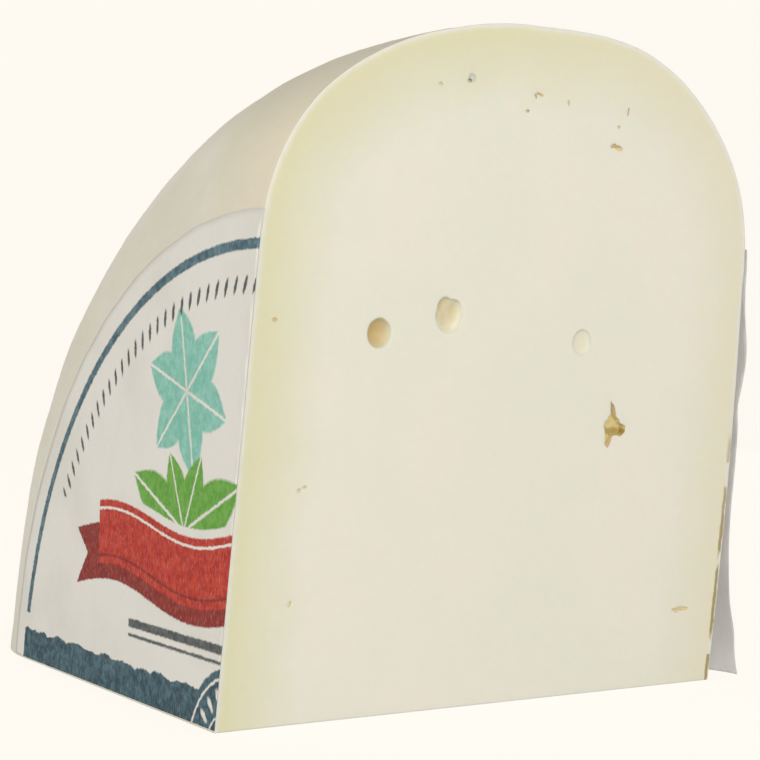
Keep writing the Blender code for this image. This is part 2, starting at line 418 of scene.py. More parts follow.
def makeRindMaterial():
    look = rindLook
    material, tree, shader = startMaterial("cheese coating, brushed on", look["surface"])
    place = addNode(tree, "TexCoord").outputs["Object"]
    # broad clouds, drawn out along the rim
    stretched = addNode(tree, "Mapping", {"Vector": place, "Scale": (1.4, 0.8, 0.8)})
    broad = addNode(tree, "TexNoise", {"Vector": stretched, "Scale": look["clouds"], "Detail": 4.0,
                                       "Roughness": 0.55})
    shade = addNode(tree, "MapRange", {0: broad, 1: 0.34, 2: 0.60, 3: 0.5, 4: 0.0})
    milky = addNode(tree, "MapRange", {0: broad, 1: 0.46, 2: 0.70, 3: 0.0, 4: 0.6})
    # milkier down the side with painted light, and greyer over the top with painted shade
    split = addNode(tree, "SeparateXYZ", {0: place})
    # painted light: milkier and lighter towards the bottom, by height
    lowLightShare = addNode(tree, "MapRange", {0: split.outputs["Z"], (1, 2): look["lowLightHeights"],
                                         4: look["lowLightMost"]})
    milkyAndLowLight = addNode(tree, "Math", {0: milky, 1: lowLightShare}, operation="ADD", use_clamp=True)
    # painted shade: the top colour over the top, by height
    topShadeShare = addNode(tree, "MapRange", {0: split.outputs["Z"], (1, 2): look["topShadeHeights"],
                                         4: look["topShadeMost"]})
    behind = fromCornerAlong(tree, place, faceInward)
    nearCut = addNode(tree, "MapRange", {0: behind, (1, 2): look["peachBehind"], 3: look["peachMost"],
                                         4: 0.0}, interpolation_type="SMOOTHSTEP")
    first = addNode(tree, "Mix", {0: shade, 6: hexToLinear(look["base"]),
                                  7: hexToLinear(look["shade"])}, data_type="RGBA")
    second = addNode(tree, "Mix", {0: milkyAndLowLight, 6: first.outputs[2], 7: hexToLinear(look["milky"])},
                     data_type="RGBA")
    third = addNode(tree, "Mix", {0: nearCut, 6: second.outputs[2], 7: hexToLinear(look["peach"])},
                    data_type="RGBA")
    topShaded = addNode(tree, "Mix", {0: topShadeShare, 6: third.outputs[2], 7: hexToLinear(look["topShade"])},
                     data_type="RGBA")
    # brush marks and fine pores of the coating
    marks = addNode(tree, "TexNoise", {"Vector": place, "Scale": look["marks"], "Detail": 5.0})
    pores = addNode(tree, "TexNoise", {"Vector": place, "Scale": look["pores"], "Detail": 2.0})
    markValue = addNode(tree, "MapRange", {0: marks, 3: 0.965, 4: 1.03})
    marked = addNode(tree, "HueSaturation", {"Color": topShaded.outputs[2], "Value": markValue})
    tree.links.new(marked.outputs[0], shader.inputs["Base Color"])
    gloss = addNode(tree, "MapRange", {0: marks, (3, 4): look["gloss"]})
    tree.links.new(gloss.outputs[0], shader.inputs["Roughness"])
    broadBump = addNode(tree, "Bump", {"Height": marks, "Strength": 0.22, "Distance": 0.0005})
    fineBump = addNode(tree, "Bump", {"Height": pores, "Strength": 0.10, "Distance": 0.0002,
                                      "Normal": broadBump})
    tree.links.new(fineBump.outputs[0], shader.inputs["Normal"])
    return material


# Cheese: the turned rind shell, closed by the two cuts
materialSlots = {"rind": 0, "paste": 1, "eye": 2, "torn": 3}
cheeseShape = {
    "profileSpacing": 0.0016,
    "flatSpacing": 0.006,
    "arcLonger": 1.25,            # the squared rounding is longer than a quarter circle
    "turnStep": radians(1.2),
    "reliefBroad": 0.00050,       # hand pressing left the rim a little uneven
    "reliefFine": 0.00008,
    "drawnIn": 0.00007,           # keeps the lumps inside the wheel's true size
    "smoothWithin": 0.093,        # no lumps under the papers
    "roughBeyond": 0.104,
    # lumps per metre
    "broadLumps": 38,
    "middleLumps": 75,
    "middleShift": (3, 1, 7),
    "fineLumps": 300,
    "edgeSoftness": 0.0004,       # a wire cut leaves a soft edge
    "cell": 0.008,
    "sharpFrom": radians(38),
}
holeShape = {
    "sunk": 0.00007,              # the widest part lies just behind the cut
    "lumps": 1.6,
    "seedSpread": 900,
    "fineness": ((0.004, 5), (0.0024, 4), (0.0, 3)),     # opening's width and subdivisions
    # what is a hole's wall: this far under the rind, behind the cut and above the base
    "underRind": 0.0006,
    "behindCut": 0.00002,
    "aboveBase": 0.0005,
    "bigEyes": ("deepEye", "wideEye", "shallowEye"),
    "eyeReach": 0.0048,
}

# Holes in the front cut: metres on that face, degrees, and how uneven each is
holeMeasures = ("x", "height", "width", "tall", "deep", "turn", "uneven")
eyes = {
    "deepEye": (-0.0284, 0.0648, 0.0046, 0.0050, 0.0019, -8, 0.04),
    "wideEye": (-0.0149, 0.0682, 0.0053, 0.0058, 0.0010, 14, 0.06),
    "sideLobe": (-0.0160, 0.0697, 0.0029, 0.0032, 0.0012, 10, 0.05),
    "rightLobe": (-0.0138, 0.0690, 0.0026, 0.0036, 0.0011, 8, 0.05),
    "shallowEye": (0.0144, 0.0647, 0.0041, 0.0044, 0.0004, 0, 0.04),
    "upperPit": (-0.0152, 0.1073, 0.0014, 0.0011, 0.0004, 25, 0.25),
    "upperPitTail": (-0.0157, 0.1068, 0.0008, 0.0006, 0.0006, 0, 0.25),
    "faintPit": (-0.0214, 0.1056, 0.0009, 0.0005, 0.0003, 20, 0.2),
    "darkPit": (0.0176, 0.0990, 0.0022, 0.0008, 0.0007, 10, 0.22),
    "darkPitWing": (0.0165, 0.0993, 0.0013, 0.0006, 0.0007, -25, 0.2),
    "dotLeft": (-0.0032, 0.1032, 0.0008, 0.0005, 0.0005, 0, 0.2),
    "arcCrack": (-0.0010, 0.1062, 0.0016, 0.0004, 0.0004, 12, 0.2),
    "arcCrackEnd": (-0.0018, 0.1058, 0.0008, 0.0004, 0.0004, 55, 0.2),
    "dotRight": (0.0172, 0.1026, 0.0006, 0.0005, 0.0004, 0, 0.2),
    "hairline": (0.0190, 0.1054, 0.0003, 0.0016, 0.0003, 0, 0.1),
    "faintScratch": (0.0054, 0.1055, 0.0004, 0.0010, 0.0003, -10, 0.1),
    "lowCrack": (0.0467, 0.0147, 0.0030, 0.0007, 0.0005, 4, 0.2),
    "lowCrackTail": (0.0450, 0.0144, 0.0020, 0.0005, 0.0003, 22, 0.2),
    "leftNick": (-0.0407, 0.0390, 0.0007, 0.0006, 0.0003, 0, 0.2),
    "leftNickTail": (-0.0397, 0.0396, 0.0007, 0.0004, 0.0003, 0, 0.2),
    "faintNick": (-0.0404, 0.0204, 0.0005, 0.0010, 0.0003, 15, 0.2),
    "edgeNick": (-0.0481, 0.0662, 0.0009, 0.0006, 0.0005, 0, 0.2),
}
eyes = {name: dict(zip(holeMeasures, row)) for name, row in eyes.items()}

# The torn hole: its outline about its own middle, and how it narrows as it goes in
tear = {
    "x": 0.0237,
    "height": 0.0500,
    "outline": [(-0.0007, 0.0045), (-0.0001, 0.0037), (0.0004, 0.0026), (0.0009, 0.0014),
                (0.0018, 0.0004), (0.0030, -0.0003), (0.0029, -0.0014), (0.0021, -0.0022),
                (0.0013, -0.0019), (0.0005, -0.0020), (0.0001, -0.0033), (-0.0004, -0.0044),
                (-0.0011, -0.0036), (-0.0012, -0.0016), (-0.0018, -0.0003), (-0.0015, 0.0006),
                (-0.0008, 0.0011), (-0.0010, 0.0016), (-0.0004, 0.0021), (-0.0006, 0.0030)],
    "levels": [(0.0022, 0.94), (0.0006, 0.72)],
    "before": 0.001,               # the cutter starts this far in front
    "ragged": 0.00022,
    "raggedPitch": 1500,
    "seed": 1,                     # without a seed, noise_vector starts from the clock
    "broad": 1.15,
}


def wheelProfile():
    # half section from the labelled face's middle over the rim to the hidden face's middle
    def side(rounding, squareness):
        steps = ceil(pi / 2 * rounding * cheeseShape["arcLonger"] / cheeseShape["profileSpacing"])
        flat = wheel["radius"] - rounding
        flatSteps = ceil(flat / cheeseShape["flatSpacing"])
        radii = [flat * i / flatSteps for i in range(flatSteps)]
        for i in range(steps + 1):
            radii.append(flat + rounding * sin(pi / 2 * i / steps) ** (2 / squareness))
        return radii
    labelSide = side(wheel["labelRounding"], wheel["labelSquareness"])
    backSide = side(wheel["backRounding"], wheel["backSquareness"])[:-1]
    profile = [(radius, labelFaceAlong(radius)) for radius in labelSide]
    return profile + [(radius, backFaceAlong(radius)) for radius in reversed(backSide)]


def roughenRind(bm):
    # uneven outside the papers only, so that they lie flat on it
    shape = cheeseShape
    bm.normal_update()
    for vert in bm.verts:
        fromAxis = vert.co - wheelCentre
        radius = Vector((0, fromAxis.y, fromAxis.z)).length
        share = smoothStep(shape["smoothWithin"], shape["roughBeyond"], radius)
        middle = noise.noise(vert.co * shape["middleLumps"] + Vector(shape["middleShift"]))
        broad = noise.noise(vert.co * shape["broadLumps"]) + 0.6 * middle
        fine = noise.noise(vert.co * shape["fineLumps"])
        relief = shape["reliefBroad"] * (broad - 0.5) + shape["reliefFine"] * fine
        vert.co += vert.normal * (relief - shape["drawnIn"]) * share


def closeCut(bm, onThisCut):
    openEdges = [e for e in bm.edges if e.is_boundary or e.is_wire]
    loop = [e for e in openEdges if all(onThisCut(v.co) for v in e.verts)]
    face = bmesh.ops.edgeloop_fill(bm, edges=loop)["faces"][0]
    face.material_index = materialSlots["paste"]
    return face


def sliceCut(bm, face, acrossAxes):
    # slices, so that the cut face has no long slivers
    pieces = [face]
    cell = cheeseShape["cell"]
    for direction in acrossAxes:
        reach = [v.co.dot(direction) for f in pieces for v in f.verts]
        for i in range(ceil(min(reach) / cell), ceil(max(reach) / cell)):
            geometry = dict.fromkeys(pieces)
            for f in pieces:
                geometry.update(dict.fromkeys(f.edges))
                geometry.update(dict.fromkeys(f.verts))
            sliced = bmesh.ops.bisect_plane(bm, geom=list(geometry), dist=mergeDistance,
                                            plane_co=direction * i * cell, plane_no=direction)
            pieces = [g for g in sliced["geom"] if isinstance(g, bmesh.types.BMFace)]


def holeCutter(name, hole, fineness):
    bm = bmesh.new()
    bmesh.ops.create_icosphere(bm, subdivisions=fineness, radius=1)
    seed = Vector((hole["x"], hole["height"], hole["deep"])) * holeShape["seedSpread"]
    for vert in bm.verts:
        vert.co *= 1 + hole["uneven"] * noise.noise(vert.co * holeShape["lumps"] + seed)
    bmesh.ops.scale(bm, verts=bm.verts, vec=(hole["width"] / 2, hole["deep"], hole["tall"] / 2))
    bmesh.ops.rotate(bm, verts=bm.verts, matrix=Matrix.Rotation(radians(hole["turn"]), 3, "Y"))
    bmesh.ops.rotate(bm, verts=bm.verts, matrix=Matrix.Rotation(lean, 3, "X"))
    bmesh.ops.translate(bm, verts=bm.verts, vec=facePoint(hole["x"], hole["height"], holeShape["sunk"]))
    return finishPiece(name, bm, [])


def tearCutter():
    bm = bmesh.new()
    outline = [bm.verts.new((x * tear["broad"], -tear["before"], up)) for x, up in tear["outline"]]
    level = bm.faces.new(outline)
    for step, narrowing in tear["levels"]:
        grown = bmesh.ops.extrude_face_region(bm, geom=[level])["geom"]
        level = [g for g in grown if isinstance(g, bmesh.types.BMFace)][0]
        bmesh.ops.translate(bm, verts=level.verts, vec=(0, step, 0))
        bmesh.ops.scale(bm, verts=level.verts, vec=(narrowing, 1, narrowing))
    bmesh.ops.triangulate(bm, faces=bm.faces)
    bmesh.ops.subdivide_edges(bm, edges=bm.edges, cuts=1)
    noise.seed_set(tear["seed"])
    for vert in bm.verts:
        vert.co += tear["ragged"] * noise.noise_vector(vert.co * tear["raggedPitch"])
    bmesh.ops.recalc_face_normals(bm, faces=bm.faces)
    bmesh.ops.rotate(bm, verts=bm.verts, matrix=Matrix.Rotation(lean, 3, "X"))
    bmesh.ops.translate(bm, verts=bm.verts, vec=facePoint(tear["x"], tear["height"]))
    return finishPiece("tearCutter", bm, [])


def cutHoles(cheese):
    cutters = [tearCutter()]
    for name, hole in eyes.items():
        fineness = next(level for width, level in holeShape["fineness"] if hole["width"] > width)
        cutters.append(holeCutter(name + "Cutter", hole, fineness))
    group = bpy.data.collections.new("holeCutters")
    for cutter in cutters:
        group.objects.link(cutter)
    boolean = cheese.modifiers.new("holes", "BOOLEAN")
    boolean.operation = "DIFFERENCE"
    boolean.solver = "EXACT"
    boolean.operand_type = "COLLECTION"
    boolean.collection = group
    depsgraph = bpy.context.evaluated_depsgraph_get()
    cutMesh = bpy.data.meshes.new_from_object(cheese.evaluated_get(depsgraph))
    cheese.modifiers.clear()
    cheese.data = cutMesh
    for cutter in cutters:
        bpy.data.objects.remove(cutter, do_unlink=True)
    bpy.data.collections.remove(group)


def markCheese(cheese, rindSurface):
    # each point's distance from the rind, the holes' two materials, and the sharp rims
    bm = bmesh.new()
    bm.from_mesh(cheese.data)
    layer = bm.verts.layers.float.new("rindDepth")
    for vert in bm.verts:
        vert[layer] = rindSurface.find_nearest(vert.co)[3]
    eyePlaces = [facePoint(eyes[name]["x"], eyes[name]["height"]) for name in holeShape["bigEyes"]]
    for face in bm.faces:
        face.smooth = True
        middle = face.calc_center_median()
        inPaste = min(v[layer] for v in face.verts) > holeShape["underRind"]
        offCuts = behindFace(middle) > holeShape["behindCut"] and middle.z > holeShape["aboveBase"]
        if inPaste and offCuts:
            inEye = any((middle - place).length < holeShape["eyeReach"] for place in eyePlaces)
            face.material_index = materialSlots["eye" if inEye else "torn"]
    bmesh.ops.triangulate(bm, faces=[f for f in bm.faces if len(f.verts) > 4])
    bm.to_mesh(cheese.data)
    bm.free()
    cheese.data.set_sharp_from_angle(angle=cheeseShape["sharpFrom"])


def buildCheese():
    bm = bmesh.new()
    spinAboutAxis(bm, wheelProfile(), cheeseShape["turnStep"])
    bmesh.ops.recalc_face_normals(bm, faces=bm.faces)
    roughenRind(bm)
    rindSurface = BVHTree.FromBMesh(bm)
    cutAway(bm, corner, -faceInward)
    cutAway(bm, corner, Vector((0, 0, -1)))
    ends = [v for v in bm.verts if onFrontCut(v.co) and onBaseCut(v.co)]
    bmesh.ops.contextual_create(bm, geom=ends)
    frontFace = closeCut(bm, onFrontCut)
    baseFace = closeCut(bm, onBaseCut)
    bmesh.ops.recalc_face_normals(bm, faces=bm.faces)
    sliceCut(bm, frontFace, (Vector((1, 0, 0)), faceUp))
    sliceCut(bm, baseFace, (Vector((1, 0, 0)), Vector((0, 1, 0))))
    bmesh.ops.recalc_face_normals(bm, faces=bm.faces)
    # in the order of materialSlots
    materials = [makeRindMaterial(), makePasteMaterial(), makeEyeMaterial(), makeTornMaterial()]
    cheese = finishPiece("cheesePaste", bm, materials)
    cutHoles(cheese)
    markCheese(cheese, rindSurface)
    return cheese


cheese = buildCheese()
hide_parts("cheese")
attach(cheese, "root")
print("cheese built,", len(cheese.data.polygons), "faces")

# Papers on the wheel's two faces
paperShape = {
    "radius": 0.0918,
    "ringSpacing": 0.0014,
    "turnStep": radians(0.8),
    "thickness": 0.00009,
    "gap": 0.00004,
    "cockle": 0.00005,        # glued paper dries slightly cockled
    "cockles": 110,           # per metre
    "edgeWander": 0.00035,
    "edgeWaves": 120,
    "edgeWidth": 0.004,       # only the rim wanders
    "aboveFloor": 0.0004,
}
# The hidden face's paper has let go along the front cut, most at its lower corner
loosePaper = {
    "edgeLift": 0.0019,
    "edgeHeight": 0.086,
    "cornerLift": 0.0062,
    "cornerHeight": 0.012,
    "reach": 0.018,
    # its waves: height, half length, lift
    "waves": [(0.0630, 0.0060, 0.0011), (0.0530, 0.0030, -0.0005), (0.0300, 0.0110, -0.0006),
              (0.0090, 0.0045, 0.0009)],
    "crease": 0.00020,
    "creases": 260,           # per metre
}


def buildPaper(name, faceAlong, outward, lift, material):
    bm = bmesh.new()
    rings = ceil(paperShape["radius"] / paperShape["ringSpacing"])
    points = []
    for i in range(rings + 1):
        radius = paperShape["radius"] * i / rings
        points.append((radius, faceAlong(radius) + outward * paperShape["gap"]))
    spinAboutAxis(bm, points, paperShape["turnStep"])
    rimStart = paperShape["radius"] - paperShape["edgeWidth"]
    for vert in bm.verts:
        fromAxis = Vector((0, vert.co.y - wheelCentre.y, vert.co.z - wheelCentre.z))
        rim = smoothStep(rimStart, paperShape["radius"], fromAxis.length)
        wander = noise.noise(vert.co * paperShape["edgeWaves"])
        vert.co += fromAxis.normalized() * rim * paperShape["edgeWander"] * wander
    cutAway(bm, corner, -faceInward)
    cutAway(bm, Vector((0, 0, paperShape["aboveFloor"])), Vector((0, 0, -1)))
    for vert in bm.verts:
        cockle = 0.5 + 0.5 * noise.noise(vert.co * paperShape["cockles"])
        vert.co.x += outward * (lift(vert.co) + paperShape["cockle"] * cockle)
    bmesh.ops.recalc_face_normals(bm, faces=bm.faces)
    if sum(f.normal.x * f.calc_area() for f in bm.faces) * outward < 0:
        bmesh.ops.reverse_faces(bm, faces=bm.faces)
    for face in bm.faces:
        face.smooth = True
    paper = finishPiece(name, bm, [material])
    wall = paper.modifiers.new("paper thickness", "SOLIDIFY")
    wall.thickness = paperShape["thickness"]
    wall.offset = 1
    return paper


def looseLift(point):
    behind = behindFace(point)
    nearEdge = exp(-(behind / loosePaper["reach"]) ** 2)
    upEdge = max(0, 1 - point.z / loosePaper["edgeHeight"]) ** 0.5
    lowCorner = exp(-point.z / loosePaper["cornerHeight"])
    wave = sum(lift * exp(-((point.z - height) / length) ** 2)
               for height, length, lift in loosePaper["waves"])
    crease = loosePaper["crease"] * (0.5 + noise.noise(point * loosePaper["creases"])) * lowCorner
    lifted = loosePaper["edgeLift"] * upEdge + wave + loosePaper["cornerLift"] * lowCorner + crease
    return lifted * nearEdge


# Label paper: uncoated white paper, soaked a little by the cheese, printed in flat inks whose
# fibres show through. All of the print's sizes are millimetres in the face's own plane.
labelLook = {
    "paper": "#e1dcd1",
    "paperShade": "#d8d3c6",
    # each ink where it is full and where it is thin
    "slate": ("#233f4b", "#45666f"),
    "slateRing": ("#36555f", "#5c7980"),
    "teal": ("#74b6a0", "#8ec4b3"),
    "green": ("#55962a", "#6da63c"),
    "red": ("#a81b08", "#c03a22"),
    "redShade": ("#7c140a", "#8f2a1c"),
    "ink": ("#454a49", "#5a5f5d"),
    # noise scales, per millimetre
    "creepScale": 1.3,
    "paperBlotch": 0.07,
    "inkBlotch": 0.62,
    "brush": 0.24,
    "fibres": 0.9,
    "fibreLean": radians(14),
    "surface": {"Roughness": 0.72, "Specular IOR Level": 0.25},
}
labelPrint = {
    "ringRadius": 86.3, "ringHalf": 0.85, "ringFoot": 9.4,
    "bandTop": 6.2, "bandRadius": 87.1, "bandBrush": 1.3,
    "grainRadius": 80.0, "grainPitch": 3.1, "grainFoot": 33.0, "grainHalf": 0.5, "grainTall": 1.5,
    "grainSlant": 0.4,
    "sealUp": -6.1, "sealRadius": 17.4,
    "sealLines": ((15.9, 0.22), (10.7, 0.16)),     # radius and half width
    "sealPetals": 28, "petalRadius": 13.3, "petalHalf": 0.2, "petalTall": 1.5,
    "ribbonUp": 26.5, "ribbonHalf": 5.7, "ribbonEnd": -13.0,
    "ribbonWave": 2.0, "ribbonPhase": (0.105, 3.6),
    "tailHalf": 5.1, "tailEnd": -3.0, "tailDrop": 3.4, "notchSlope": -0.9,
    "halo": 1.5, "lineIn": 1.5, "lineHalf": (0.12, 0.34),
    "rules": ((13.4, 0.75), (11.3, 0.28)),         # height and half width
    "ruleFrom": -26.0,
    "vein": (0.03, 0.09), "bladeSoft": 0.06,       # shares of a leaf's half width
    "creep": 0.55,             # how far an ink wanders along the fibres
    "bleed": 0.16,             # soft edge of an ink on wet paper
}
# petals and leaves: foot (y, z), lean from upright in degrees, length, width
tealPetals = [(-46, 54, 60 * i + 12, 14.5, 8.6) for i in range(6)]
greenLeaves = [(-46, 31, 66, 21, 9), (-46, 31, -66, 21, 9), (-46, 31, 24, 14, 7),
               (-46, 31, -24, 14, 7)]


def insideEdges(tree, soft, *limits):
    # 1 where each value is below its own edge, fading to 0 across the soft border
    mask = None
    for value, edge in limits:
        below = addNode(tree, "MapRange", {0: value, 1: edge - soft, 2: edge + soft, 3: 1.0, 4: 0.0})
        if mask is None:
            mask = below
        else:
            mask = addNode(tree, "Math", {0: mask, 1: below}, operation="MULTIPLY")
    return mask


def leafMasks(tree, plane, leaves):
    # a leaf is as wide as a sine along its length; a thin vein stays unprinted
    everything = None
    for y, z, leanDegrees, length, width in leaves:
        own = addNode(tree, "Mapping", {"Vector": plane, "Location": (y, z, 0),
                                        "Rotation": (0, 0, -radians(leanDegrees)),
                                        "Scale": (width / 2, length, 1)}, vector_type="TEXTURE")
        parts = addNode(tree, "SeparateXYZ", {0: own})
        along = addNode(tree, "Clamp", {0: parts.outputs["Y"]})
        turned = addNode(tree, "Math", {0: along, 1: pi}, operation="MULTIPLY")
        outline = addNode(tree, "Math", {0: turned}, operation="SINE")
        across = addNode(tree, "Math", {0: parts.outputs["X"]}, operation="ABSOLUTE")
        inside = addNode(tree, "Math", {0: across, 1: outline}, operation="SUBTRACT")
        blade = insideEdges(tree, labelPrint["bladeSoft"], (inside, 0.0))
        vein = addNode(tree, "MapRange", {0: across, (1, 2): labelPrint["vein"]})
        veined = addNode(tree, "Math", {0: blade, 1: vein}, operation="MULTIPLY")
        if everything is None:
            everything = veined
        else:
            everything = addNode(tree, "Math", {0: everything, 1: veined}, operation="MAXIMUM")
    return everything


def paintOver(tree, below, mask, ink):
    # the ink lies blotchy on the paper, between its two colours
    blotch = addNode(tree, "TexNoise", {"Vector": tree.nodes["millimetres"].outputs[0],
                                        "Scale": labelLook["inkBlotch"], "Detail": 4.0,
                                        "Roughness": 0.65})
    share = addNode(tree, "MapRange", {0: blotch, 1: 0.40, 2: 0.62})
    full, thin = [hexToLinear(code) for code in labelLook[ink]]
    colour = addNode(tree, "Mix", {0: share, 6: full, 7: thin}, data_type="RGBA")
    mixed = addNode(tree, "Mix", {0: mask, 6: below, 7: colour.outputs[2]}, data_type="RGBA")
    return mixed.outputs[2]


def makeLabelMaterial():
    look, art = labelLook, labelPrint
    material, tree, shader = startMaterial("label paper, uncoated, printed", look["surface"])
    place = addNode(tree, "TexCoord").outputs["Object"]
    mm = addNode(tree, "VectorMath", {0: place, "Scale": 1000.0}, operation="SCALE", name="millimetres")
    # inks creep along the fibres
    creep = addNode(tree, "TexNoise", {"Vector": mm, "Scale": look["creepScale"], "Detail": 2.0})
    centred = addNode(tree, "VectorMath", {0: creep.outputs["Color"], 1: (0.5, 0.5, 0.5)},
                      operation="SUBTRACT")
    crept = addNode(tree, "VectorMath", {0: centred, 1: (art["creep"],) * 3, 2: mm},
                    operation="MULTIPLY_ADD")
    parts = addNode(tree, "SeparateXYZ", {0: crept})
    across, up = parts.outputs["Y"], parts.outputs["Z"]
    plane = addNode(tree, "CombineXYZ", {0: across, 1: up})
    fromMiddle = addNode(tree, "VectorMath",
                         {0: plane, 1: (wheelCentre.y * 1000, wheelCentre.z * 1000, 0)},
                         operation="SUBTRACT")
    radius = addNode(tree, "VectorMath", {0: fromMiddle}, operation="LENGTH").outputs["Value"]
    soft = art["bleed"]

    colour = hexToLinear(look["paper"])
    blotch = addNode(tree, "TexNoise", {"Vector": mm, "Scale": look["paperBlotch"], "Detail": 4.0})
    blotched = addNode(tree, "MapRange", {0: blotch, 1: 0.42, 2: 0.66, 3: 0.0, 4: 0.75})
    colour = addNode(tree, "Mix", {0: blotched, 6: colour, 7: hexToLinear(look["paperShade"])},
                     data_type="RGBA").outputs[2]
    paperColour = colour

    # a flower of six petals over its leaves
    colour = paintOver(tree, colour, leafMasks(tree, plane, tealPetals), "teal")
    colour = paintOver(tree, colour, leafMasks(tree, plane, greenLeaves), "green")

    # ribbon with a swallow tail, an unprinted halo round it and an unprinted line inside its edges
    phase = addNode(tree, "Math", {0: across, (1, 2): art["ribbonPhase"]}, operation="MULTIPLY_ADD")
    wave = addNode(tree, "Math", {0: phase}, operation="SINE")
    middle = addNode(tree, "Math", {0: wave, 1: art["ribbonWave"], 2: art["ribbonUp"]},
                     operation="MULTIPLY_ADD")
    offset = addNode(tree, "Math", {0: up, 1: middle}, operation="SUBTRACT")
    away = addNode(tree, "Math", {0: offset}, operation="ABSOLUTE")
    lower = addNode(tree, "Math", {0: offset, 1: art["tailDrop"]}, operation="ADD")
    tailAway = addNode(tree, "Math", {0: lower}, operation="ABSOLUTE")
    notch = addNode(tree, "Math", {0: tailAway, 1: art["notchSlope"], 2: across},
                    operation="MULTIPLY_ADD")
    bodyHalf, bodyEnd, tailHalf, margin = art["ribbonHalf"], art["ribbonEnd"], art["tailHalf"], art["halo"]
    tailNotch = art["tailEnd"] - tailHalf
    haloBody = insideEdges(tree, soft, (away, bodyHalf + margin), (across, bodyEnd + margin))
    haloTail = insideEdges(tree, soft, (tailAway, tailHalf + margin), (notch, tailNotch + margin))
    halo = addNode(tree, "Math", {0: haloBody, 1: haloTail}, operation="MAXIMUM")
    colour = addNode(tree, "Mix", {0: halo, 6: colour, 7: paperColour}, data_type="RGBA").outputs[2]
    tail = insideEdges(tree, soft, (tailAway, tailHalf), (notch, tailNotch))
    colour = paintOver(tree, colour, tail, "redShade")
    body = insideEdges(tree, soft, (away, bodyHalf), (across, bodyEnd))
    lineAway = awayFrom(tree, away, bodyHalf - art["lineIn"])
    notLine = addNode(tree, "MapRange", {0: lineAway, (1, 2): art["lineHalf"]})
    lined = addNode(tree, "Math", {0: body, 1: notLine}, operation="MULTIPLY")
    colour = paintOver(tree, colour, lined, "red")

    # double rule under the ribbon
    for ruleUp, half in art["rules"]:
        rule = insideEdges(tree, soft, (awayFrom(tree, up, ruleUp), half), (across, art["ruleFrom"]))
        colour = paintOver(tree, colour, rule, "ink")

    # ring of slanted grains inside the ring line
    turn = addNode(tree, "SeparateXYZ", {0: fromMiddle})
    angle = addNode(tree, "Math", {0: turn.outputs["X"], 1: turn.outputs["Y"]}, operation="ARCTAN2")
    grainCount = round(2 * pi * art["grainRadius"] / art["grainPitch"])
    counted = addNode(tree, "Math", {0: angle, 1: grainCount / (2 * pi)}, operation="MULTIPLY")
    cell = addNode(tree, "Math", {0: counted, 1: 0.5, 2: -0.5}, operation="WRAP")
    grainOut = addNode(tree, "Math", {0: radius, 1: art["grainRadius"]}, operation="SUBTRACT")
    cellMm = addNode(tree, "Math", {0: cell, 1: art["grainPitch"]}, operation="MULTIPLY")
    slanted = addNode(tree, "Math", {0: grainOut, 1: art["grainSlant"], 2: cellMm},
                      operation="MULTIPLY_ADD")
    grainPlane = addNode(tree, "CombineXYZ", {0: slanted, 1: grainOut})
    grainScale = (1 / art["grainHalf"], 1 / art["grainTall"], 0)
    grainShape = addNode(tree, "VectorMath", {0: grainPlane, 1: grainScale}, operation="MULTIPLY")
    grainFar = addNode(tree, "VectorMath", {0: grainShape}, operation="LENGTH").outputs["Value"]
    grainHigh = addNode(tree, "MapRange", {0: up, 1: art["grainFoot"], 2: art["grainFoot"] + 0.5})
    everyGrain = insideEdges(tree, 0.2, (grainFar, 0.95))
    grains = addNode(tree, "Math", {0: everyGrain, 1: grainHigh}, operation="MULTIPLY")
    colour = paintOver(tree, colour, grains, "ink")

    # ring line, and the brushed band with its seal along the bottom
    wholeRing = insideEdges(tree, soft, (awayFrom(tree, radius, art["ringRadius"]), art["ringHalf"]))
    ringHigh = addNode(tree, "MapRange", {0: up, 1: art["ringFoot"] - soft, 2: art["ringFoot"] + soft})
    ring = addNode(tree, "Math", {0: wholeRing, 1: ringHigh}, operation="MULTIPLY")
    colour = paintOver(tree, colour, ring, "slateRing")
    brush = addNode(tree, "TexNoise", {"Vector": plane, "Scale": look["brush"], "Detail": 3.0,
                                       "Roughness": 0.45})
    brushed = addNode(tree, "MapRange", {0: brush, 3: -art["bandBrush"], 4: art["bandBrush"]})
    bandUp = addNode(tree, "Math", {0: up, 1: brushed}, operation="ADD")
    band = insideEdges(tree, soft, (bandUp, art["bandTop"]), (radius, art["bandRadius"]))
    sealPlace = addNode(tree, "VectorMath", {0: plane, 1: (wheelCentre.y * 1000, art["sealUp"], 0)},
                        operation="SUBTRACT")
    sealFar = addNode(tree, "VectorMath", {0: sealPlace}, operation="LENGTH").outputs["Value"]
    seal = insideEdges(tree, soft, (sealFar, art["sealRadius"]))
    printed = addNode(tree, "Math", {0: band, 1: seal}, operation="MAXIMUM")
    colour = paintOver(tree, colour, printed, "slate")
    for lineRadius, half in art["sealLines"]:
        line = insideEdges(tree, 0.12, (awayFrom(tree, sealFar, lineRadius), half))
        colour = addNode(tree, "Mix", {0: line, 6: colour, 7: paperColour}, data_type="RGBA").outputs[2]
